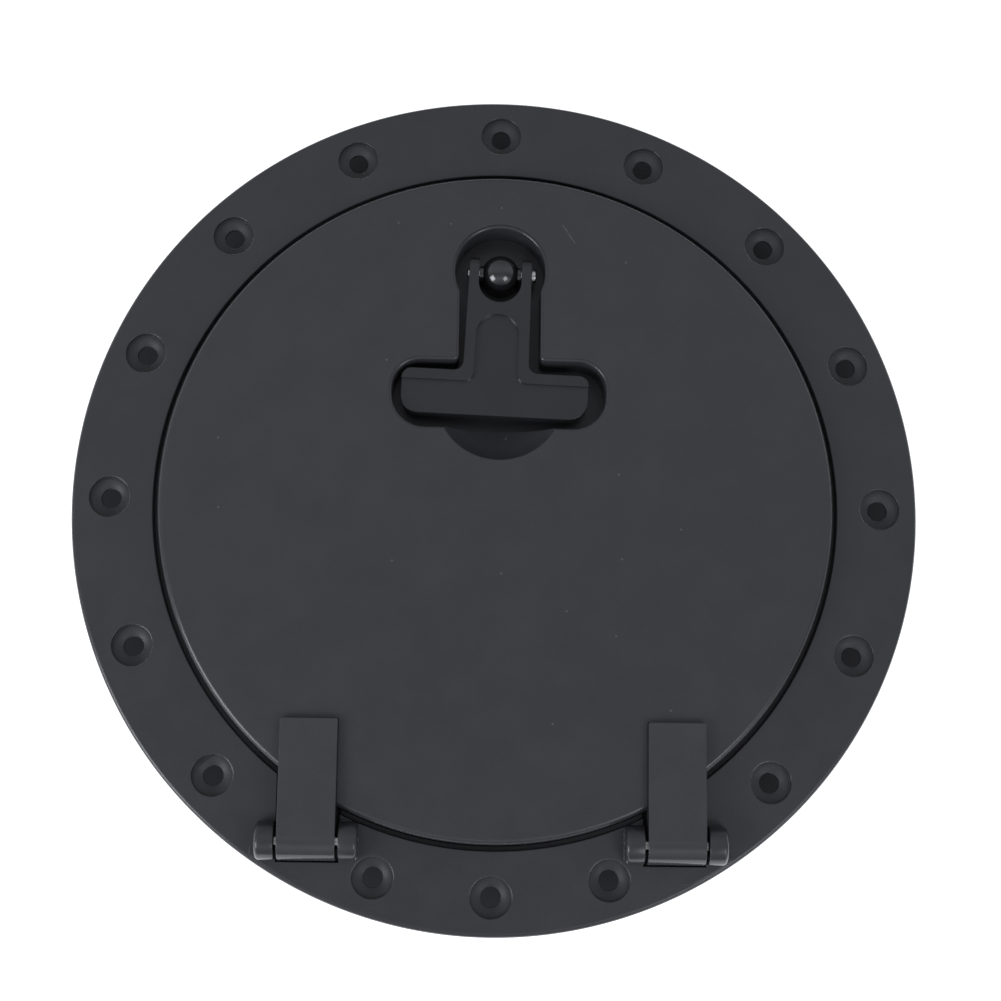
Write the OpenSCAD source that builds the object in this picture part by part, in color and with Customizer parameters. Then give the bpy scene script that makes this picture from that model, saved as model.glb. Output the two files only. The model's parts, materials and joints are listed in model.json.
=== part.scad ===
// Round deck hatch: a flanged frame ring that screws down over a hole in a
// deck, and a lid that swings on two pinned hinge arms and locks with a flush
// lift-and-turn T-handle.
// Z is up, out of the deck. Z = 0 is the underside of the flange, and the
// origin is the centre of the screw circle. The hinge is towards -Y.

/* [Frame ring] */
// Outside diameter of the flange
flange_d = 270; // [268:0.5:274]
// Outside diameter of the collar that drops into the deck
collar_d = 224; // [222:0.5:225]
// Depth of the collar below the flange
collar_h = 26; // [24:1:45]
// Diameter of the clear opening
opening_d = 200; // [199:0.5:201]
// Thickness of the flange at its outer edge
edge_t = 4.4; // [4.2:0.1:4.8]
// Height of the flange at its inner edge
inner_t = 6.4; // [6.0:0.1:6.6]

/* [Deck screws] */
// Diameter of the screw circle
screw_circle_d = 245.6; // [245:0.1:246.4]
// Diameter of each through hole
screw_hole_d = 6.4; // [5:0.1:6.6]
// Diameter of the pocket for each screw head
head_pocket_d = 12.9; // [12:0.1:13.4]
// Angle of the last pair of holes, moved towards the middle of the hinge side
hinge_side_angle = 162.7; // [162:0.1:163.4]

/* [Lid] */
// Outside diameter of the lid
lid_d = 213.8; // [213.4:0.1:214]
// Height of the crown of the lid above the flange underside
lid_crown = 12.5; // [12:0.1:13]
// Rise of the lid from its edge to its crown
lid_dome = 2.0; // [1.8:0.1:2.2]
// Thickness of the lid plate
plate_t = 3.0; // [2.6:0.1:3.2]

/* [Hinge] */
// Distance of the middle of each hinge from the centre line
hinge_x = 56.7; // [56:0.1:58]
// Distance of the hinge axis behind the origin
hinge_y = 106.2; // [106:0.1:106.6]
// Height of the hinge axis
hinge_z = 7.6; // [7.5:0.1:8]
// Radius of the hinge barrel and of the ears
barrel_r = 6.0; // [5.8:0.1:6]
// Width of a hinge arm
arm_w = 17.8; // [17:0.1:18.2]
// Height of the flat top of each arm above the hinge axis
arm_rise = 5.8; // [5.4:0.1:5.8]
// Width of one ear
ear_w = 5.9; // [5:0.1:6.2]
// Side gap between an arm and an ear
ear_gap = 0.95; // [0.6:0.05:1.2]
// Diameter of a hinge pin
hinge_pin_d = 3.0; // [2.5:0.1:3.2]

/* [Latch] */
// Distance of the spindle from the origin, away from the hinge
spindle_y = 75.4; // [75:0.1:76]
// Diameter of the domed head of the spindle
ball_d = 12.2; // [11:0.1:12.4]
// Diameter of the spindle in its bush
spindle_d = 8.0; // [7.6:0.1:8.2]
// Length of the T-bar of the handle
bar_l = 60; // [56:0.5:61]
// Width of the T-bar
bar_w = 14.3; // [13:0.1:15]
// Reach of the tongue from the spindle axis
tongue_reach = 30.5; // [29:0.5:32]
// Angle at which the handle lies in its recess
handle_yaw = -2; // [-3:0.5:1]

/* [Hidden] */
$fn = 96;

flange_r = flange_d / 2;
collar_r = collar_d / 2;
opening_r = opening_d / 2;
lid_r = lid_d / 2;
circle_r = screw_circle_d / 2;
wall_r = lid_r + 1.8;
step_r = lid_r + 0.45;
step_z = 3;
collar_t = 3;
gutter_z = -5;
ledge_t = 3;
lip_top = 0.5;
lip_t = 2.5;
run_gap = 0.06;
barrel_gap = 0.6;
notch_floor = 1.4;
arm_end = 69;
arm_seat = 9;
pin_r = hinge_pin_d / 2;

// Angle of each deck screw, measured from +Y towards +X
hole_angles = [0, 22.5, 45, 67.5, 90, 112.5, 135, hinge_side_angle,
               180, -hinge_side_angle, -135, -112.5, -90, -67.5, -45, -22.5];

spindle_x = 0.3;
pin_z = 5.2;
recess_floor = -2;
floor_t = 3;
ball_r = ball_d / 2;
spindle_r = spindle_d / 2;
tongue_top = -9;
tongue_t = 4;

black = [0.24, 0.245, 0.26];
dark = [0.14, 0.14, 0.15];
steel = [0.78, 0.79, 0.8];

// Points on an arc, from angle a0 to a1, in n steps
function arc(c, r, a0, a1, n) =
    [for (i = [0 : n]) let (a = a0 + (a1 - a0) * i / n)
        [c[0] + r * cos(a), c[1] + r * sin(a)]];

// Corner points of a rounded rectangle, with its own radius at each corner
function round_rect(x0, y0, x1, y1, r_bl, r_br, r_tr, r_tl) = concat(
    arc([x0 + r_bl, y0 + r_bl], r_bl, 180, 270, 8),
    arc([x1 - r_br, y0 + r_br], r_br, 270, 360, 8),
    arc([x1 - r_tr, y1 - r_tr], r_tr, 0, 90, 8),
    arc([x0 + r_tl, y1 - r_tl], r_tl, 90, 180, 8));

// Height of the top of the lid at a distance from its centre
dome_r = pow(lid_r, 2) / (2 * lid_dome);
function lid_top(r) = lid_crown - pow(r, 2) / (2 * dome_r);
// Height of the top of the flange at a distance from its centre, and its slope
flange_fall = (inner_t - edge_t) / (flange_r - wall_r);
function flange_top(r) = inner_t - flange_fall * (r - wall_r);

module at_hole(a) {
    rotate([0, 0, -a]) translate([0, circle_r, 0]) children();
}

module along_x(x0, x1) {
    translate([x0, 0, 0]) rotate([90, 0, 90]) linear_extrude(x1 - x0) children();
}

module both_sides() {
    children();
    mirror([1, 0, 0]) children();
}

// ---- Frame ring ----

// Half section of the ring: flange, lid pocket with a step, gutter, sealing lip
// and collar
module ring_section() {
    polygon(concat(
        [[flange_r, 0]],
        arc([flange_r - 1.5, edge_t - 1.5], 1.5, 0, 84, 6),
        arc([wall_r + 0.4, inner_t - 0.4], 0.4, 86, 180, 4),
        [[wall_r, step_z], [step_r, step_z], [step_r, gutter_z + 1],
         [step_r - 1, gutter_z], [opening_r + lip_t, gutter_z]],
        arc([opening_r + lip_t - 0.6, lip_top - 0.6], 0.6, 0, 90, 4),
        arc([opening_r + 0.6, lip_top - 0.6], 0.6, 90, 180, 4),
        [[opening_r, gutter_z - ledge_t], [collar_r - collar_t, gutter_z - ledge_t],
         [collar_r - collar_t, -collar_h + 1], [collar_r - collar_t + 1, -collar_h],
         [collar_r - 1, -collar_h], [collar_r, -collar_h + 1],
         [collar_r, inner_t - 3.2], [flange_r - 2.5, edge_t - 2.5],
         [flange_r - 2.5, 0]]));
}

// One ear, from x = 0 at its rounded outer end to x = ear_w beside the arm: a
// round end about the hinge axis, on a foot that joins it to the flange
module ear() {
    end_r = 1.4;
    translate([0, 0, 3]) linear_extrude(hinge_z - 3) polygon(
        round_rect(0, -hinge_y - barrel_r + 0.02, ear_w, -hinge_y + barrel_r - 1,
                   1.8, 0.4, 0.4, 1.8));
    translate([0, -hinge_y, hinge_z]) rotate([0, 90, 0]) rotate_extrude()
        polygon(concat([[0, ear_w], [0, 0]],
            arc([barrel_r - end_r, end_r], end_r, 270, 360, 6),
            arc([barrel_r - 0.3, ear_w - 0.3], 0.3, 0, 90, 2)));
}

// Everything of one hinge that is moulded on the ring, on the +X side
module hinge_pad() {
    x0 = hinge_x - arm_w / 2 - ear_gap - ear_w;
    x1 = hinge_x + arm_w / 2 + ear_gap + ear_w;
    intersection() {
        translate([x0 - 2, -hinge_y - 12, 0]) cube([x1 - x0 + 4, 30, edge_t + 0.2]);
        difference() {
            translate([0, 0, -1]) cylinder(r = flange_r - 1.6, h = 12);
            translate([0, 0, -2]) cylinder(r = collar_r - 0.5, h = 14);
        }
    }
    translate([x0, 0, 0]) ear();
    translate([x1, 0, 0]) mirror([1, 0, 0]) ear();
}

// A through hole with a coned pocket for the screw head, and a rounded rim
// that follows the slope of the flange
module screw_hole() {
    floor_z = 1.4;
    cone_h = 1.2;
    pocket_r = head_pocket_d / 2;
    rim_r = 0.5;
    translate([0, 0, -1]) cylinder(d = screw_hole_d, h = 8);
    translate([0, 0, floor_z])
        cylinder(r1 = screw_hole_d / 2, r2 = pocket_r - 0.75, h = cone_h);
    translate([0, 0, floor_z + cone_h]) cylinder(d = head_pocket_d, h = 6);
    translate([0, 0, flange_top(circle_r) - 0.02]) rotate([-atan(flange_fall), 0, 0])
        rotate_extrude() polygon(concat(
            [[pocket_r - 1.5, 2], [pocket_r - 1.5, -rim_r]],
            arc([pocket_r + rim_r - 0.06, -rim_r], rim_r, 180, 90, 5),
            [[pocket_r + rim_r - 0.06, 2]]));
}

// Ramped lug under the ledge, that the tongue pulls up against
module keeper() {
    intersection() {
        translate([0, collar_r, gutter_z - ledge_t]) rotate([90, 0, 0])
            linear_extrude(20) polygon([[-16, 0.5], [-16, 0], [-10, -0.9],
                                        [10, -0.9], [16, 0], [16, 0.5]]);
        difference() {
            translate([0, 0, -20]) cylinder(r = collar_r - 1, h = 30);
            translate([0, 0, -21]) cylinder(r = opening_r + 0.8, h = 32);
        }
    }
}

module frame_ring() {
    notch_x0 = hinge_x - arm_w / 2 - ear_gap;
    notch_w = arm_w + 2 * ear_gap;
    color(black) difference() {
        union() {
            rotate_extrude() ring_section();
            for (a = hole_angles) at_hole(a) cylinder(r = 8.4, h = 3.4);
            for (i = [0 : 15]) if (i < 6 || i > 9)
                rotate([0, 0, -11.25 - i * 22.5])
                    translate([-0.9, collar_r - 1, 0])
                        cube([1.8, flange_r - collar_r - 0.6, 2.6]);
            both_sides() hinge_pad();
            keeper();
        }
        for (a = hole_angles) at_hole(a) screw_hole();
        both_sides() {
            translate([notch_x0, -hinge_y - barrel_r - barrel_gap, notch_floor])
                cube([notch_w, 30, 20]);
            translate([notch_x0 - 10, -hinge_y, hinge_z]) rotate([0, 90, 0])
                cylinder(r = pin_r, h = notch_w + 20);
        }
    }
}

// ---- Lid ----

// Half section of the lid: domed plate, seal groove and skirt
module lid_section() {
    n = 10;
    shoulder = lid_r - 2;
    rib_r = opening_r - 3.5;
    polygon(concat(
        [for (i = [0 : n]) [shoulder * i / n, lid_top(shoulder * i / n)]],
        arc([shoulder, lid_top(shoulder) - 2], 2, 80, 0, 8),
        [[lid_r, 1.1], [lid_r - 0.6, lip_top], [lid_r - 2.5, lip_top],
         [lid_r - 2.5, 6], [rib_r + 1.8, 6], [rib_r + 1.8, 1.4],
         [rib_r + 1.4, 1], [rib_r, 1]],
        [for (i = [n - 1 : -1 : 0]) [rib_r * i / (n - 1), lid_top(rib_r * i / (n - 1)) - plate_t]]));
}

// Outline of the handle recess, with softened inside corners
module recess_outline() {
    offset(r = -1.6, $fn = 32) offset(r = 1.6, $fn = 32) union() {
        translate([0.2, 75.1]) circle(r = 14.5, $fn = 72);
        translate([-12.7, 38]) square([26, 38]);
        polygon(round_rect(-33.9, 23.3, 34.5, 45.1, 10.7, 10.7, 9.2, 9.2));
    }
}

scoop_r = 25.46;
scoop_at = [0.5, 33.4, 27.21];

// The seat of a hinge arm: a block under the plate, on the +X side
module seat_pad() {
    intersection() {
        translate([hinge_x - arm_w / 2 - 1.2, -98, 5.5]) cube([arm_w + 2.4, 30.2, 3.6]);
        translate([0, 0, 4]) cylinder(r = opening_r - 2.5, h = 8);
    }
}

screw_at = [[hinge_x - 5.4, -72.5], [hinge_x + 1.6, -72.5]];

module lid() {
    color(black) difference() {
        union() {
            rotate_extrude() lid_section();
            // bucket of the handle recess and of the finger scoop
            translate([0, 0, recess_floor - floor_t]) linear_extrude(15.2)
                offset(r = 2.6, $fn = 32) recess_outline();
            intersection() {
                translate(scoop_at) sphere(r = scoop_r + 2.6);
                translate([-30, 5, -3]) cube([60, 30, 13.2]);
            }
            translate([spindle_x, spindle_y, recess_floor - floor_t - 3])
                cylinder(r = 8.5, h = 4);
            // stiffening ribs below the plate
            for (a = [0 : 30 : 330]) rotate([0, 0, a]) rotate([90, 0, 0])
                translate([0, 0, -0.9]) linear_extrude(1.8)
                    polygon([[18, 4], [96.8, 4], [96.8, 9], [18, 10.6]]);
            rotate_extrude() translate([50, 4]) square([1.8, 6]);
            both_sides() seat_pad();
        }
        translate([0, 0, recess_floor]) linear_extrude(20) recess_outline();
        intersection() {
            translate(scoop_at) sphere(r = scoop_r);
            translate([-40, 0, -10]) cube([80, scoop_at[1], 40]);
        }
        translate([spindle_x, spindle_y, -12]) cylinder(r = 5.25, h = 20);
        both_sides() {
            translate([hinge_x - arm_w / 2 - 0.1, -112, arm_seat])
                cube([arm_w + 0.2, 112.1 - arm_end, 8]);
            for (p = screw_at) translate([p[0], p[1], 0]) {
                cylinder(r = 1.9, h = 10);
                translate([0, 0, 6.5]) cylinder(r = 3.3, h = 4);
                cylinder(r = 3.6, h = 5.5);
            }
        }
    }
}

module lid_seal() {
    color(dark) rotate_extrude() polygon(concat(
        [[opening_r - 1.6, 6], [opening_r - 1.6, 1.6]],
        arc([opening_r - 0.6, lip_top + 1.1], 1.0, 180, 270, 5),
        arc([opening_r + 2.9, lip_top + 1.1], 1.0, 270, 360, 5),
        [[opening_r + 3.9, 6]]));
}

// ---- Hinge arms, screws and pins ----

module hinge_arm() {
    x0 = hinge_x - arm_w / 2;
    difference() {
        union() {
            translate([0, 0, arm_seat]) linear_extrude(hinge_z + arm_rise - arm_seat)
                polygon(round_rect(x0, -hinge_y, x0 + arm_w, -arm_end, 0.1, 0.1, 0.5, 0.5));
            difference() {
                translate([x0, -hinge_y, 6.2]) cube([arm_w, 24.6, 3.8]);
                translate([0, 0, 5]) cylinder(r = lid_r + 0.15, h = arm_seat - 5);
                translate([x0 - 1, -99, arm_seat]) cube([arm_w + 2, 20, 3]);
            }
            translate([x0, -hinge_y, hinge_z]) rotate([0, 90, 0])
                cylinder(r = barrel_r, h = arm_w);
            for (p = screw_at) translate([p[0], p[1], 6.5]) cylinder(r = 3.2, h = 3);
        }
        translate([x0 - 1, -hinge_y, hinge_z]) rotate([0, 90, 0])
            cylinder(r = pin_r + run_gap, h = arm_w + 2);
        for (p = screw_at) translate([p[0], p[1], 4]) cylinder(r = 1.6, h = 6.2);
    }
}

module hinge_arm_left() { color(black) mirror([1, 0, 0]) hinge_arm(); }

module hinge_arm_right() { color(black) hinge_arm(); }

// Pan-head screws that hold the arms from inside the lid
module hinge_screws() {
    color(steel) both_sides() for (p = screw_at) translate([p[0], p[1], 0])
        difference() {
            union() {
                translate([0, 0, 5.3]) cylinder(r = 1.6, h = 4.7);
                translate([0, 0, 3.9]) cylinder(r = 2.9, h = 1.6);
                translate([0, 0, 3.2]) cylinder(r1 = 2.1, r2 = 2.9, h = 0.7);
            }
            translate([-0.4, -1.6, 2]) cube([0.8, 3.2, 2.3]);
            translate([-1.6, -0.4, 2]) cube([3.2, 0.8, 2.3]);
        }
}

module hinge_pin() {
    l = arm_w + 2 * ear_gap + 2 * ear_w - 0.8;
    translate([hinge_x - l / 2, -hinge_y, hinge_z]) rotate([0, 90, 0])
        union() {
            translate([0, 0, 0.4]) cylinder(r = pin_r, h = l - 0.8);
            cylinder(r1 = pin_r - 0.4, r2 = pin_r, h = 0.4);
            translate([0, 0, l - 0.4]) cylinder(r1 = pin_r, r2 = pin_r - 0.4, h = 0.4);
        }
}

module hinge_pin_left() { color(steel) mirror([1, 0, 0]) hinge_pin(); }

module hinge_pin_right() { color(steel) hinge_pin(); }

// ---- Latch ----

// Puts a piece of the latch at the spindle, turned as the handle lies
module at_spindle() {
    translate([spindle_x, spindle_y, 0]) rotate([0, 0, handle_yaw]) children();
}

bar_y0 = -47.85;
bar_y1 = bar_y0 + bar_w;
panel_drop = 1.2;

// Plan of the handle: fork, stem and T-bar, with fillets in the corners
module handle_plan() {
    difference() {
        offset(r = -3, $fn = 40) offset(r = 3, $fn = 40) union() {
            polygon([[-10.0, 5], [-10.6, bar_y1 - 2], [10.6, bar_y1 - 2], [10.0, 5]]);
            polygon(round_rect(-bar_l / 2, bar_y0, bar_l / 2, bar_y1, 5.4, 6.2, 3.2, 3.2));
        }
        translate([0, -3.6]) circle(r = 6.9);
        translate([-6.9, -3.6]) square([13.8, 20]);
    }
}

// The lower face of the handle inside its raised border
module handle_panel() {
    offset(r = -3, $fn = 40) offset(r = 3, $fn = 40) union() {
        translate([0, -21.5]) circle(r = 6.9);
        polygon([[-6.9, -21.5], [-7.1, bar_y1 - 6], [7.1, bar_y1 - 6], [6.9, -21.5]]);
        translate([-40, bar_y0 - 5]) square([80, bar_w + 1.5]);
    }
}

// Side view of the handle, about the cross pin: round ends on the fork
module handle_side() {
    polygon(concat(
        [[bar_y0 - 1, pin_z + 5], [2.0, pin_z + 5]],
        arc([1.4, pin_z + 1.6], 3.4, 80, -10, 6),
        arc([1.2, pin_z - 0.8], 3.5, -10, -90, 6),
        [[-13, pin_z - 4.3], [-16, pin_z - 1.6], [bar_y0 - 1, pin_z - 1.6]]));
}

module t_handle() {
    color(black) at_spindle() difference() {
        intersection() {
            linear_extrude(14) handle_plan();
            along_x(-40, 40) handle_side();
        }
        translate([0, 0, pin_z + 5 - panel_drop]) linear_extrude(3) handle_panel();
        translate([-15, 0, pin_z]) rotate([0, 90, 0])
            cylinder(r = pin_r + run_gap, h = 30);
    }
}

// Cross pin of the handle, with a flat head on its +X end
module handle_pin() {
    head_r = 2.4;
    color(steel) at_spindle() translate([0, 0, pin_z]) rotate([0, 90, 0]) rotate_extrude()
        polygon(concat([[0, -10.8], [pin_r - 0.3, -10.8], [pin_r, -10.5], [pin_r, 10.3],
                        [head_r, 10.3]],
            arc([head_r - 0.6, 11.1], 0.6, 0, 90, 5),
            [[0, 11.7]]));
}

module spindle() {
    square_w = 5.6;
    head_z = -0.5;
    boss_w = 13.4;
    color(dark) at_spindle() difference() {
        union() {
            translate([0, 0, pin_z]) sphere(r = ball_r);
            translate([0, 0, head_z]) cylinder(r = ball_r, h = pin_z - head_z);
            translate([-boss_w / 2, 0, pin_z]) rotate([0, 90, 0]) cylinder(r = 2.5, h = boss_w);
            translate([0, 0, tongue_top]) cylinder(r = spindle_r, h = pin_z - tongue_top);
            translate([-square_w / 2, -square_w / 2, tongue_top - tongue_t])
                cube([square_w, square_w, tongue_t + 1]);
            translate([0, 0, -21.5]) cylinder(r = 2.8, h = 9);
        }
        // groove of the sealing ring
        translate([0, 0, -5]) difference() {
            cylinder(r = 6, h = 1.7);
            translate([0, 0, -1]) cylinder(r = 2.5, h = 4);
        }
        translate([-15, 0, pin_z]) rotate([0, 90, 0]) cylinder(r = pin_r, h = 30);
    }
}

module spindle_ring() {
    color(dark) at_spindle() translate([0, 0, -4.15]) rotate_extrude()
        translate([3.27, 0]) circle(r = 0.77);
}

// Flanged bush pressed into the floor of the recess
module spindle_bush() {
    color(dark) translate([spindle_x, spindle_y, 0]) difference() {
        union() {
            translate([0, 0, recess_floor - floor_t - 3]) cylinder(r = 5.25, h = 7);
            translate([0, 0, recess_floor]) cylinder(r = 7.4, h = 1.2);
        }
        translate([0, 0, -12]) cylinder(r = spindle_r + run_gap, h = 16);
    }
}

// The tongue, drawn in its released position along +X
module tongue() {
    hole_w = 5.7;
    color(dark) at_spindle() translate([0, 0, tongue_top - tongue_t]) difference() {
        union() {
            cylinder(r = 9, h = tongue_t);
            translate([0, -8, 0]) cube([tongue_reach - 5, 16, tongue_t]);
            translate([tongue_reach - 5, 8, 0]) rotate([90, 0, 0]) linear_extrude(16)
                polygon([[0, 0], [3, 0], [5, 1.4], [5, 2.6], [2, tongue_t], [0, tongue_t]]);
        }
        translate([-hole_w / 2, -hole_w / 2, -1]) cube([hole_w, hole_w, tongue_t + 2]);
    }
}

module ring(r_in, r_out, z0, z1) {
    translate([0, 0, z0]) difference() {
        cylinder(r = r_out, h = z1 - z0);
        translate([0, 0, -1]) cylinder(r = r_in, h = z1 - z0 + 2);
    }
}

module thrust_washer() {
    color("ivory") at_spindle() ring(spindle_r + 0.1, 8, tongue_top, tongue_top + 0.95);
}

module tongue_washer() {
    color(steel) at_spindle() ring(2.9, 7, tongue_top - tongue_t - 1, tongue_top - tongue_t);
}

// A split ring, as thick as it is when the nut is tight
module spring_washer() {
    color(steel) at_spindle() translate([0, 0, tongue_top - tongue_t - 2.2])
        rotate_extrude(angle = 346) translate([2.9, 0]) square([2.3, 1.2]);
}

module lock_nut() {
    z1 = tongue_top - tongue_t - 2.2;
    color(steel) at_spindle() difference() {
        union() {
            translate([0, 0, z1 - 4]) cylinder(r = 5.77, h = 4, $fn = 6);
            translate([0, 0, z1 - 5.4]) cylinder(r = 4.4, h = 1.6);
        }
        translate([0, 0, z1 - 10]) cylinder(r = 2.8, h = 12);
    }
}

frame_ring();
lid();
lid_seal();
hinge_arm_left();
hinge_arm_right();
hinge_screws();
hinge_pin_left();
hinge_pin_right();
t_handle();
handle_pin();
spindle();
spindle_bush();
spindle_ring();
tongue();
thrust_washer();
tongue_washer();
spring_washer();
lock_nut();
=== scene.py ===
"""A round deck hatch in moulded black plastic, closed, seen from above on a white table."""

import json
import math

import bmesh
import bpy
from mathutils import Matrix, Vector


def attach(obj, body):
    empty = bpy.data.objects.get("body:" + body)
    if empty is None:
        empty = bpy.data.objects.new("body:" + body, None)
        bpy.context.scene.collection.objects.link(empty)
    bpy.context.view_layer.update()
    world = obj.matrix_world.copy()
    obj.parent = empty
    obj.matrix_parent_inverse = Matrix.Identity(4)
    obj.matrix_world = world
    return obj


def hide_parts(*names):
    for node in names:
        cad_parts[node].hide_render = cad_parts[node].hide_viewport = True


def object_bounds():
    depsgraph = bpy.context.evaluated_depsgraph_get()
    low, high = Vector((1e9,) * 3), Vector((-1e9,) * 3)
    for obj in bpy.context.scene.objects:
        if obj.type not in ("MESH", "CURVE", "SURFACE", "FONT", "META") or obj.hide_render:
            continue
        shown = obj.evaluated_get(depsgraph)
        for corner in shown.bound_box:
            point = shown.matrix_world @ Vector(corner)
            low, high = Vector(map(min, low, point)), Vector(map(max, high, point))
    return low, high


MM = 0.001
UP = Vector((0, 0, 1))

# Points closer together than this are one point
WELD = 0.001 * MM
# Chords of circles longer than this are cut, in this many places
LONG_CHORD = 2.5 * MM
CHORD_CUTS = 3
# Edges that turn by more degrees than these are bevelled, creased or shaded sharp
BEVEL_ANGLE = 38
CREASE_ANGLE = 10.5
SHARP_ANGLE = 32

# Fillet radii of the handle recess and of its finger scoop
RECESS_RIM = 1.0 * MM
SCOOP_RIM = 0.5 * MM
# Steps in the arc of a fillet
FILLET_STEPS = 6
# Longest straight stretch between two sections of the recess fillet
RIM_STEP = 2 * MM

# The finger scoop is cut by a sphere; its fillet spans these degrees, on the hinge side
SCOOP_CENTRE = Vector((0.5, 33.4, 27.21)) * MM
SCOOP_RADIUS = 25.46 * MM
SCOOP_SPAN = (175, 365)
SCOOP_SECTIONS = 72

# The floor of the recess lies between this height and 0
RECESS_LOW = -3 * MM
# Points of the lid above this height are on its top or its rounded edge
LID_EDGE = 9 * MM
# Broad faces above these heights get the normals of the ideal surface
LID_TOP = 9.8 * MM
FLANGE_TOP = 3 * MM
# How steeply the top of the flange falls outwards
FLANGE_FALL = 2.0 / 26.3
# Most degrees between a face and the ideal surface that it belongs to
NORMAL_LIMIT = 1.5

# Pieces with bevelled edges, by CAD node: the piece's name and the bevel's width in mm
BEVELLED = {
    "hinge_arm_left": ("left_arm", 0.35),
    "hinge_arm_right": ("right_arm", 0.35),
    "t_handle": ("handle", 0.45),
    "tongue": ("latch_tongue", 0.4),
    "lock_nut": ("nut", 0.15),
    "tongue_washer": ("flat_washer", 0.1),
    "thrust_washer": ("nylon_washer", 0.15),
    "spring_washer": ("split_washer", 0.1),
}

# A painted shadow on the table, a dark disc under the hatch, keeps the screw holes dark: its
# radius, its middle on the Y axis and the width of its soft edge
SHADE_RADIUS = 134 * MM
SHADE_Y = 4.8 * MM
SHADE_EDGE = 7 * MM
SHADE_TONE = (0.045, 0.045, 0.048)
# Half of the side of the table, and how strongly it glows, so that it comes out white
TABLE_REACH = 4.0
TABLE_GLOW = 0.85

# The camera looks down on the hatch, a little from the hinge side
CAMERA_PLACE = Vector((-0.010402, -0.089045, 0.543831))
CAMERA_RIGHT = Vector((0.999619, 0.013530, 0.024044))
CAMERA_UP = Vector((-0.017301, 0.986260, 0.164294))
CAMERA_BACK = Vector((-0.021491, -0.164647, 0.986118))
CAMERA_LENS = 61.61

LIGHT_COLOUR = (0.965, 0.985, 1.05)
# Square lights: name, direction from the hatch, distance and power
SOFTBOXES = (("left", (-0.77, -0.42, 0.49), 1.1, 4.6), ("right", (0.50, -0.54, 0.68), 1.3, 2.6))
SOFTBOX_SIZE = 0.5
# Brightness of the tent by how far a direction points towards +Y
SKY = ((-0.92, 0.20), (-0.60, 0.95), (-0.36, 0.30), (-0.15, 0.25),
       (0.05, 0.46), (0.28, 0.62), (0.50, 0.58), (0.95, 0.32))

# Dust specks on the lid: cells per metre, radius in cells, share of the cells with a speck
SPECK_CELLS = 55
SPECK_RADIUS = 0.018
SPECK_SHARE = 0.25
# How much lighter than the lid the specks and the scratch are
SPECK_TONE = 2.6
SCRATCH_TONE = 2.8
# A fine scratch on the lid, beside the recess
SCRATCH_START = Vector((20.2, 90.8, 11.1)) * MM
SCRATCH_END = Vector((24.3, 84.6, 11.2)) * MM

# How much lower the roughness is on edges and steep faces than on the textured tops
POLISH = 0.15
# The ring is matt below this height, and this much rougher
MATT_BELOW = 3.4 * MM
MATT = 0.3
# Tint of the black plastics, and how far their tone varies
TINT = Vector((0.965, 0.98, 1.06))
MOTTLE = 0.12

# Grey tone, roughness, grain per metre, depth of the grain and softness of the edges in mm
PLASTICS = {
    "frame_plastic": (0.0350, 0.36, 1600, 0.026, 0.35),
    "lid_plastic": (0.0395, 0.36, 1800, 0.030, 0),
    "arm_plastic": (0.0480, 0.28, 2500, 0.008, 0.35),
    "handle_plastic": (0.0225, 0.32, 2200, 0.010, 0.6),
    "spindle_plastic": (0.0120, 0.30, 2500, 0.001, 0),
    "tongue_plastic": (0.0240, 0.45, 1500, 0.010, 0),
    "bush_plastic": (0.0190, 0.40, 2500, 0.004, 0),
    "seal_rubber": (0.0150, 0.70, 1200, 0.010, 0),
}

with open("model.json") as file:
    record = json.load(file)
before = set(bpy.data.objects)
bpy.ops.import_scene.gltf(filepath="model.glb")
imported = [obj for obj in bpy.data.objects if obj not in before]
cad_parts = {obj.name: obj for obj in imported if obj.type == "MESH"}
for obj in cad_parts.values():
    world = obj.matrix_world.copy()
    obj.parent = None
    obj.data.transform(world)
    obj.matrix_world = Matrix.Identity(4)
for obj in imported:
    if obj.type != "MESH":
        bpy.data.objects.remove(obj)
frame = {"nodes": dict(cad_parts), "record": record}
cad_low, cad_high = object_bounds()
body_of_node = {n: b for b, ns in frame["record"]["behaviour"]["bodies"].items() for n in ns}
slot_of_node = {s["node"]: s["material_slot"] for s in frame["record"]["subparts"]}


# ---- Mesh work ----


def cad_mesh(node):
    """A copy of a CAD node's mesh with its seams welded and its flat faces whole."""
    bm = bmesh.new()
    bm.from_mesh(frame["nodes"][node].data)
    bmesh.ops.remove_doubles(bm, verts=bm.verts, dist=WELD)
    bmesh.ops.dissolve_limit(
        bm, angle_limit=math.radians(0.05), verts=bm.verts, edges=bm.edges
    )
    return bm


def on_circle(edge):
    """Whether an edge is a level chord of a circle about the Z axis."""
    a, b = (v.co for v in edge.verts)
    return abs(a.z - b.z) < WELD and abs(a.xy.length - b.xy.length) < WELD


def round_out(bm):
    """Cuts the long chords of circles about the Z axis, and moves the cuts out to the circle."""
    chords = [e for e in bm.edges if e.calc_length() > LONG_CHORD and on_circle(e)]
    ends = [(e.verts[0].co.copy(), e.verts[1].co.copy()) for e in chords]
    places = {}
    for a, b in ends:
        for i in range(1, CHORD_CUTS + 1):
            p = a.lerp(b, i / (CHORD_CUTS + 1))
            places[tuple(round(c, 7) for c in p)] = a.xy.length
    old = set(bm.verts)
    bmesh.ops.subdivide_edges(bm, edges=chords, cuts=CHORD_CUTS, use_grid_fill=False)
    for v in bm.verts:
        if v not in old:
            radius = places.get(tuple(round(c, 7) for c in v.co))
            if radius:
                v.co.xy = v.co.xy.normalized() * radius


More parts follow.
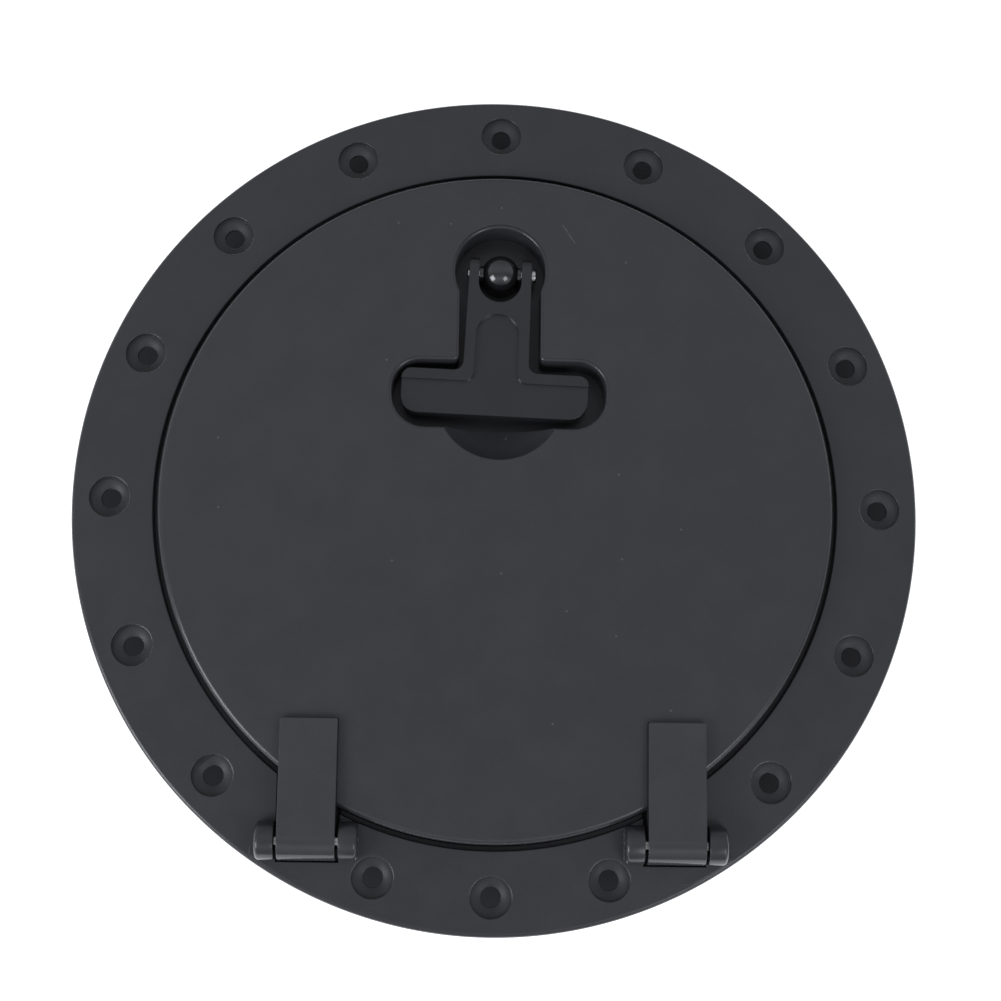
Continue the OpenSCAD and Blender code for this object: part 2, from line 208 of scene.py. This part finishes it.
def bevel_edges(bm, width):
    """Rounds every edge where the surface turns by more than BEVEL_ANGLE."""
    limit = math.radians(BEVEL_ANGLE)
    sharp = [e for e in bm.edges if e.is_manifold and e.calc_face_angle(0) > limit]
    bmesh.ops.bevel(
        bm, geom=sharp, offset=width, offset_type="OFFSET", segments=3,
        profile=0.5, affect="EDGES", clamp_overlap=True,
    )


def mark_creases(bm):
    """Keeps a hard edge where a flat face runs into a barrel at a shallow angle."""
    low = math.radians(CREASE_ANGLE)
    high = math.radians(BEVEL_ANGLE)
    for e in bm.edges:
        if e.is_manifold and low < e.calc_face_angle(0) < high:
            e.smooth = False


def new_object(name, bm):
    """An object in the scene with the mesh of bm, which is freed."""
    mesh = bpy.data.meshes.new(name)
    bm.to_mesh(mesh)
    bm.free()
    if "custom_normal" in mesh.attributes:
        mesh.attributes.remove(mesh.attributes["custom_normal"])
    obj = bpy.data.objects.new(name, mesh)
    bpy.context.scene.collection.objects.link(obj)
    return obj


def shade(obj):
    """Smooth shading, with a hard edge where the surface turns by more than SHARP_ANGLE."""
    obj.data.shade_smooth()
    obj.data.set_sharp_from_angle(angle=math.radians(SHARP_ANGLE))


def shade_rounded(obj):
    """Smooth shading for a bevelled piece, whose flat faces stay flat up to their rounded edges."""
    for face in obj.data.polygons:
        face.use_smooth = True
    flat = obj.modifiers.new("flat_faces", "WEIGHTED_NORMAL")
    flat.keep_sharp = True
    flat.weight = 80


def cut(obj, cutters):
    """Subtracts the cutters from obj, one by one, and removes them."""
    for cutter in cutters:
        modifier = obj.modifiers.new("cut", "BOOLEAN")
        modifier.operation = "DIFFERENCE"
        modifier.solver = "EXACT"
        modifier.object = cutter
    depsgraph = bpy.context.evaluated_depsgraph_get()
    mesh = bpy.data.meshes.new_from_object(obj.evaluated_get(depsgraph))
    obj.modifiers.clear()
    obj.data = mesh
    for cutter in cutters:
        bpy.data.objects.remove(cutter)


def sweep(name, sections, closed):
    """A solid with the given rings of points as its cross-sections, joined end to end if closed."""
    bm = bmesh.new()
    rings = [[bm.verts.new(p) for p in ring] for ring in sections]
    pairs = list(zip(rings, rings[1:]))
    if closed:
        pairs.append((rings[-1], rings[0]))
    else:
        bm.faces.new(list(reversed(rings[0])))
        bm.faces.new(rings[-1])
    for a, b in pairs:
        for i in range(len(a)):
            j = (i + 1) % len(a)
            bm.faces.new((a[i], a[j], b[j], b[i]))
    bmesh.ops.recalc_face_normals(bm, faces=bm.faces)
    return new_object(name, bm)


def tilted(place, slope):
    """The normal at a place on a surface that falls outwards by slope(radius)."""
    tilt = slope(place.xy.length)
    radial = place.xy.normalized()
    return Vector((radial.x * tilt, radial.y * tilt, 1)).normalized()


def true_normals(obj, low, slope):
    """Gives the broad faces above the height low the normals of the ideal curved surface."""
    mesh = obj.data
    normals = [corner.vector.copy() for corner in mesh.corner_normals]
    limit = math.cos(math.radians(NORMAL_LIMIT))
    for face in mesh.polygons:
        if face.center.z < low or face.normal.dot(tilted(face.center, slope)) < limit:
            continue
        for k in face.loop_indices:
            normals[k] = tilted(mesh.vertices[mesh.loops[k].vertex_index].co, slope)
    mesh.normals_split_custom_set(normals)


def settle(obj, node, materials):
    """Gives a piece its CAD node's material, and lets it stand for that node."""
    obj.data.materials.clear()
    obj.data.materials.append(materials[slot_of_node[node]])
    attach(obj, body_of_node[node])
    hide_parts(node)


# ---- Lid ----


def dome(plate):
    """Height of the top of the lid over a point, from the crown and one point near the edge."""
    edge = max((v.co for v in plate.verts if v.co.z > LID_EDGE), key=lambda c: c.xy.length)
    crown = max(v.co.z for v in plate.verts)
    fall = (crown - edge.z) / edge.xy.length_squared
    return lambda p: crown - fall * (p.x * p.x + p.y * p.y)


def floor_outline(bm):
    """The outline of the recess floor, in order, counter-clockwise from above."""
    flats = [f for f in bm.faces if f.normal.z > 0.999]
    floors = [f for f in flats if RECESS_LOW < f.calc_center_median().z < 0]
    level = max(floors, key=lambda f: f.calc_area()).calc_center_median().z
    edges = []
    for e in bm.edges:
        flat = all(abs(v.co.z - level) < WELD for v in e.verts)
        ups = [f for f in e.link_faces if f.normal.z > 0.9]
        walls = [f for f in e.link_faces if abs(f.normal.z) < 0.1]
        if flat and len(ups) == 1 and len(walls) == 1:
            edges.append(e)
    links = {}
    for e in edges:
        for v in e.verts:
            links.setdefault(v, []).append(e)
    loops = []
    seen = set()
    for start in links:
        if start in seen:
            continue
        loop = []
        v = start
        while v not in seen:
            seen.add(v)
            loop.append(v.co.copy())
            ahead = [e.other_vert(v) for e in links[v] if e.other_vert(v) not in seen]
            if ahead:
                v = ahead[0]
        loops.append(loop)
    loop = max(loops, key=lambda l: max(p.y for p in l) - min(p.y for p in l))
    area = sum(a.x * b.y - b.x * a.y for a, b in zip(loop, loop[1:] + loop[:1]))
    return loop if area > 0 else loop[::-1]


def spread(loop, longest):
    """The loop with extra points on its long straight stretches."""
    out = []
    for a, b in zip(loop, loop[1:] + loop[:1]):
        n = max(1, math.ceil((b - a).length / longest))
        out += [a.lerp(b, i / n) for i in range(n)]
    return out


def rim_cutter(loop, top, radius):
    """Rounds the rim of a recess with upright walls, whose plan is loop, in a surface top(p).

    The arc crosses the wall and the surface by a hair, so that they don't just touch."""
    bite = 0.05 * radius
    sections = []
    n = len(loop)
    for i, p in enumerate(loop):
        ahead = (loop[(i + 1) % n] - p).normalized()
        behind = (p - loop[i - 1]).normalized()
        a = Vector((ahead.y, -ahead.x, 0))
        b = Vector((behind.y, -behind.x, 0))
        out = (a + b).normalized()
        out /= max(out.dot(a), 0.5)
        far = p + out * (radius - bite)
        z = top(far) - radius - 0.3 * bite
        arc = []
        for k in range(FILLET_STEPS + 1):
            t = math.pi / 2 * k / FILLET_STEPS
            across = radius - bite - radius * math.cos(t)
            arc.append(p + out * across + UP * (z + radius * math.sin(t) - p.z))
        lift = top(far) + 2 * radius
        inner = p - out * 1.2 * radius
        arc.append(Vector((arc[-1].x, arc[-1].y, lift)))
        arc.append(Vector((inner.x, inner.y, lift)))
        arc.append(Vector((inner.x, inner.y, arc[0].z)))
        sections.append(arc)
    return sweep("rim_cutter", sections, True)


def scoop_cutter(top, radius):
    """Rounds the rim between the finger scoop and the top of the lid, on the hinge side.

    Each section is the arc of a ball that touches the sphere and the top. The ball is moved
    by a hair, down and inwards, so that the arc crosses both."""
    sections = []
    first, last = (math.radians(end) for end in SCOOP_SPAN)
    middle = Vector((SCOOP_CENTRE.x, SCOOP_CENTRE.y, 0))
    for i in range(SCOOP_SECTIONS + 1):
        t = first + (last - first) * i / SCOOP_SECTIONS
        out = Vector((math.cos(t), math.sin(t), 0))
        rho = 0.8 * SCOOP_RADIUS
        # The ball's distance from the axis and its height depend on each other
        for _ in range(8):
            z = top(SCOOP_CENTRE + out * rho) - radius
            rho = math.sqrt((SCOOP_RADIUS + radius) ** 2 - (SCOOP_CENTRE.z - z) ** 2)
        ball = middle + out * rho + UP * (z - 0.01 * radius)
        inward = (SCOOP_CENTRE - ball).normalized()
        low = math.atan2(inward.z, -inward.dot(out))
        ring = []
        for k in range(FILLET_STEPS + 1):
            a = low + (math.pi / 2 - low) * k / FILLET_STEPS
            point = ball + radius * (UP * math.sin(a) - out * math.cos(a))
            ring.append(point - out * 0.02 * radius)
        lift = top(ball) + 2 * radius
        ring.append(Vector((ring[-1].x, ring[-1].y, lift)))
        inner = ring[0] - out * 1.5 * radius
        ring.append(Vector((inner.x, inner.y, lift)))
        ring.append(Vector((inner.x, inner.y, ring[0].z + 0.9 * radius)))
        sections.append(ring)
    return sweep("scoop_cutter", sections, False)


def make_lid(materials):
    """The lid, with fillets round the recess and the scoop, and a smooth dome."""
    bm = cad_mesh("lid")
    top = dome(bm)
    loop = spread(floor_outline(bm), RIM_STEP)
    round_out(bm)
    lid = new_object("lid_shell", bm)
    cut(lid, [rim_cutter(loop, top, RECESS_RIM), scoop_cutter(top, SCOOP_RIM)])
    shade(lid)
    fall = top(Vector((0, 0, 0))) - top(Vector((1, 0, 0)))
    true_normals(lid, LID_TOP, lambda r: 2 * fall * r)
    settle(lid, "lid", materials)


# ---- Other pieces ----


def make_ring(materials):
    """The ring, with rounder circles and a smooth, evenly falling flange."""
    bm = cad_mesh("frame_ring")
    round_out(bm)
    ring = new_object("ring", bm)
    shade(ring)
    true_normals(ring, FLANGE_TOP, lambda r: FLANGE_FALL)
    settle(ring, "frame_ring", materials)


def make_bevelled(node, materials):
    """A piece with its CAD node's shape and bevelled edges."""
    name, width = BEVELLED[node]
    bm = cad_mesh(node)
    if node.startswith("hinge_arm"):
        mark_creases(bm)
    bevel_edges(bm, width * MM)
    piece = new_object(name, bm)
    shade_rounded(piece)
    settle(piece, node, materials)


# ---- Materials ----


class Nodes:
    """Builds a material's node tree in short lines."""

    def __init__(self, name):
        self.material = bpy.data.materials.new(name)
        self.material.use_nodes = True
        self.tree = self.material.node_tree
        self.shader = self.tree.nodes["Principled BSDF"]
        coordinates = self.add("ShaderNodeTexCoord").outputs
        self.place = coordinates["Object"]
        self.facing = coordinates["Normal"]

    def add(self, kind, **values):
        node = self.tree.nodes.new(kind)
        for key, value in values.items():
            setattr(node, key, value)
        return node

    def link(self, a, b):
        self.tree.links.new(a, b)

    def noise(self, scale, detail=2.0, rough=0.5):
        node = self.add("ShaderNodeTexNoise")
        node.inputs["Scale"].default_value = scale
        node.inputs["Detail"].default_value = detail
        node.inputs["Roughness"].default_value = rough
        self.link(self.place, node.inputs["Vector"])
        return node.outputs["Fac"]

    def vector(self, operation, a, b=None):
        """A vector operation on a socket and, if b is given, a fixed vector or another socket."""
        node = self.add("ShaderNodeVectorMath", operation=operation)
        self.link(a, node.inputs[0])
        if isinstance(b, Vector):
            node.inputs[1].default_value = b
        elif b:
            self.link(b, node.inputs[1])
        number = operation in ("DOT_PRODUCT", "LENGTH", "DISTANCE")
        return node.outputs["Value" if number else "Vector"]

    def scaled(self, along, factor):
        """The fixed vector along times the value of the socket factor."""
        node = self.add("ShaderNodeVectorMath", operation="SCALE")
        node.inputs[0].default_value = along
        self.link(factor, node.inputs["Scale"])
        return node.outputs["Vector"]

    def specks(self):
        """1 on small specks, scattered in plan, and 0 between them."""
        node = self.add("ShaderNodeTexVoronoi", voronoi_dimensions="2D")
        node.inputs["Scale"].default_value = SPECK_CELLS
        self.link(self.place, node.inputs["Vector"])
        spot = self.calc(node.outputs["Distance"], SPECK_RADIUS, "LESS_THAN")
        split = self.add("ShaderNodeSeparateColor")
        self.link(node.outputs["Color"], split.inputs[0])
        chosen = self.calc(split.outputs[0], SPECK_SHARE, "LESS_THAN")
        return self.calc(spot, chosen, "MULTIPLY")

    def fit(self, value, a, b, c, d):
        """The value, mapped from the range a to b onto the range c to d, and kept inside it."""
        node = self.add("ShaderNodeMapRange")
        for i, x in zip((1, 2, 3, 4), (a, b, c, d)):
            node.inputs[i].default_value = x
        self.link(value, node.inputs[0])
        return node.outputs[0]

    def calc(self, a, b, operation="ADD"):
        """A sum, or another operation, on two numbers or sockets."""
        node = self.add("ShaderNodeMath", operation=operation)
        for value, socket in ((a, node.inputs[0]), (b, node.inputs[1])):
            if isinstance(value, (int, float)):
                socket.default_value = value
            else:
                self.link(value, socket)
        return node.outputs[0]

    def mix(self, fac, a, b):
        """A colour between a and b, each a fixed colour or a socket."""
        node = self.add("ShaderNodeMix", data_type="RGBA")
        self.link(fac, node.inputs["Factor"])
        for colour, socket in ((a, node.inputs[6]), (b, node.inputs[7])):
            if isinstance(colour, tuple):
                socket.default_value = (*colour, 1)
            else:
                self.link(colour, socket)
        return node.outputs[2]

    def bump(self, height, distance, after=None):
        """The normal of a surface that rises by distance where height is 1, on the normal after."""
        node = self.add("ShaderNodeBump")
        node.inputs["Strength"].default_value = 1.0
        node.inputs["Distance"].default_value = distance
        self.link(height, node.inputs["Height"])
        if after:
            self.link(after, node.inputs["Normal"])
        return node.outputs["Normal"]


def scratch_mask(n):
    """1 on the scratch, 0 elsewhere; n builds the material."""
    along = SCRATCH_END - SCRATCH_START
    start = n.vector("SUBTRACT", n.place, SCRATCH_START)
    share = n.vector("DOT_PRODUCT", start, along / along.length_squared)
    share = n.fit(share, 0, 1, 0, 1)
    beside = n.vector("SUBTRACT", start, n.scaled(along, share))
    width = n.fit(n.noise(900), 0.3, 0.6, 0.02 * MM, 0.16 * MM)
    distance = n.vector("LENGTH", n.vector("MULTIPLY", beside, Vector((1, 1, 0))))
    return n.calc(distance, width, "LESS_THAN")


def moulded(name, grey, roughness, grain, depth, edge, marks=False, matt_below=None):
    """Moulded plastic: a fine grain, with patches of slightly different tone and gloss.

    edge softens the edges over that many mm, marks adds dust specks and a scratch, and
    matt_below is a height under which the surface is matt."""
    n = Nodes(name)
    patches = n.noise(70, 5, 0.6)
    fine = n.noise(grain, 3, 0.6)
    dark = tuple(TINT * grey * (1 - MOTTLE))
    light = tuple(TINT * grey * (1 + MOTTLE))
    colour = n.mix(n.fit(n.calc(patches, fine), 0.7, 1.3, 0, 1), dark, light)
    if marks:
        colour = n.mix(n.specks(), colour, tuple(TINT * grey * SPECK_TONE))
        colour = n.mix(scratch_mask(n), colour, tuple(TINT * grey * SCRATCH_TONE))
    n.link(colour, n.shader.inputs["Base Color"])
    gloss = n.fit(patches, 0.3, 0.7, roughness - 0.02, roughness + 0.02)
    level = n.vector("DOT_PRODUCT", n.facing, UP)
    gloss = n.calc(gloss, n.fit(level, 0.90, 0.985, -POLISH, 0))
    if matt_below is not None:
        height = n.vector("DOT_PRODUCT", n.place, UP)
        gloss = n.calc(gloss, n.fit(height, matt_below - MM, matt_below, MATT, 0))
    soft = None
    if edge:
        rounded = n.add("ShaderNodeBevel", samples=8)
        rounded.inputs["Radius"].default_value = edge * MM
        soft = rounded.outputs["Normal"]
        unrounded = n.add("ShaderNodeNewGeometry").outputs["Normal"]
        agreement = n.vector("DOT_PRODUCT", soft, unrounded)
        gloss = n.calc(gloss, n.fit(agreement, 0.90, 0.99, -POLISH, 0))
    n.link(gloss, n.shader.inputs["Roughness"])
    n.link(n.bump(fine, depth * MM, soft), n.shader.inputs["Normal"])
    return n.material


def steel(name, roughness):
    """Stainless steel with fine marks from drawing or grinding."""
    n = Nodes(name)
    n.shader.inputs["Metallic"].default_value = 1.0
    fine = n.noise(3500, 2, 0.6)
    colour = n.mix(n.noise(300, 3), (0.50, 0.50, 0.49), (0.66, 0.66, 0.65))
    n.link(colour, n.shader.inputs["Base Color"])
    gloss = n.fit(fine, 0.3, 0.7, roughness - 0.05, roughness + 0.05)
    n.link(gloss, n.shader.inputs["Roughness"])
    n.link(n.bump(fine, 0.002 * MM), n.shader.inputs["Normal"])
    return n.material


def nylon(name):
    """Natural nylon, slightly yellow."""
    n = Nodes(name)
    colour = n.mix(n.noise(400, 3), (0.60, 0.57, 0.48), (0.72, 0.69, 0.60))
    n.link(colour, n.shader.inputs["Base Color"])
    n.shader.inputs["Roughness"].default_value = 0.45
    return n.material


def make_materials():
    """One material for each material slot of the record, by the slot's name."""
    materials = {}
    for name, values in PLASTICS.items():
        matt_below = MATT_BELOW if name == "frame_plastic" else None
        materials[name] = moulded(name, *values, name == "lid_plastic", matt_below)
    materials["washer_nylon"] = nylon("washer_nylon")
    # The polished head of the spindle reflects the lights more strongly
    ball = materials["spindle_plastic"].node_tree.nodes["Principled BSDF"]
    ball.inputs["Specular IOR Level"].default_value = 1.0
    materials["pin_steel"] = steel("pin_steel", 0.25)
    materials["screw_steel"] = steel("screw_steel", 0.35)
    return materials


# ---- Stage ----


def make_stage():
    """A white table under the hatch, with a painted shadow, a dark disc, in the middle."""
    bm = bmesh.new()
    bmesh.ops.create_grid(bm, x_segments=2, y_segments=2, size=TABLE_REACH)
    floor = new_object("floor", bm)
    floor.location.z = cad_low.z
    n = Nodes("white_table")
    white = n.mix(n.noise(3, 3), (0.90, 0.90, 0.90), (0.92, 0.92, 0.92))
    radius = n.vector("DISTANCE", n.place, Vector((0, SHADE_Y, 0)))
    away = n.fit(radius, SHADE_RADIUS, SHADE_RADIUS + SHADE_EDGE, 0, 1)
    # Inside the disc the table's colour is a painted shadow
    n.link(n.mix(away, SHADE_TONE, white), n.shader.inputs["Base Color"])
    n.shader.inputs["Roughness"].default_value = 0.9
    n.shader.inputs["Specular IOR Level"].default_value = 0.0
    # The glow fades out inside the disc, so that the painted shadow stays dark
    n.link(n.mix(away, (0, 0, 0), (1, 1, 1)), n.shader.inputs["Emission Color"])
    n.shader.inputs["Emission Strength"].default_value = TABLE_GLOW
    floor.data.materials.append(n.material)


def make_softbox(name, direction, distance, power):
    """A square light that faces the hatch."""
    light = bpy.data.lights.new(name, "AREA")
    light.shape = "RECTANGLE"
    light.size = SOFTBOX_SIZE
    light.size_y = SOFTBOX_SIZE
    light.energy = power
    light.color = LIGHT_COLOUR
    obj = bpy.data.objects.new(name, light)
    bpy.context.scene.collection.objects.link(obj)
    obj.location = Vector(direction).normalized() * distance
    obj.rotation_mode = "QUATERNION"
    obj.rotation_quaternion = (-Vector(direction)).to_track_quat("-Z", "Y")


def make_sky():
    """A white tent, in bands of brightness from the hinge side to the latch side."""
    world = bpy.data.worlds.new("studio")
    world.use_nodes = True
    tree = world.node_tree
    place = tree.nodes.new("ShaderNodeTexCoord")
    split = tree.nodes.new("ShaderNodeSeparateXYZ")
    shift = tree.nodes.new("ShaderNodeMapRange")
    for i, value in zip((1, 2, 3, 4), (-1, 1, 0, 1)):
        shift.inputs[i].default_value = value
    ramp = tree.nodes.new("ShaderNodeValToRGB")
    stops = ramp.color_ramp
    stops.interpolation = "B_SPLINE"
    for i, (lean, grey) in enumerate(SKY):
        # A new ramp has two stops already
        stop = stops.elements[i] if i < 2 else stops.elements.new(1)
        stop.position = (lean + 1) / 2
        stop.color = (grey * LIGHT_COLOUR[0], grey * LIGHT_COLOUR[1], grey * LIGHT_COLOUR[2], 1)
    tree.links.new(place.outputs["Generated"], split.inputs[0])
    tree.links.new(split.outputs["Y"], shift.inputs[0])
    tree.links.new(shift.outputs[0], ramp.inputs[0])
    tree.links.new(ramp.outputs[0], tree.nodes["Background"].inputs["Color"])
    bpy.context.scene.world = world


def make_camera():
    """The camera, on the hinge side, high above the hatch."""
    camera = bpy.data.cameras.new("camera")
    camera.lens = CAMERA_LENS
    camera.sensor_width = 36
    camera.clip_start = 0.01
    camera.clip_end = 20
    obj = bpy.data.objects.new("camera", camera)
    bpy.context.scene.collection.objects.link(obj)
    turn = Matrix((CAMERA_RIGHT, CAMERA_UP, CAMERA_BACK)).transposed()
    obj.matrix_world = Matrix.Translation(CAMERA_PLACE) @ turn.to_4x4()
    bpy.context.scene.camera = obj


def main():
    bpy.context.scene.view_settings.view_transform = "Standard"
    materials = make_materials()
    make_camera()
    make_stage()
    for values in SOFTBOXES:
        make_softbox(*values)
    make_sky()
    for node, obj in frame["nodes"].items():
        obj.data.materials.clear()
        obj.data.materials.append(materials[slot_of_node[node]])
    make_lid(materials)
    make_ring(materials)
    for node in BEVELLED:
        make_bevelled(node, materials)


main()
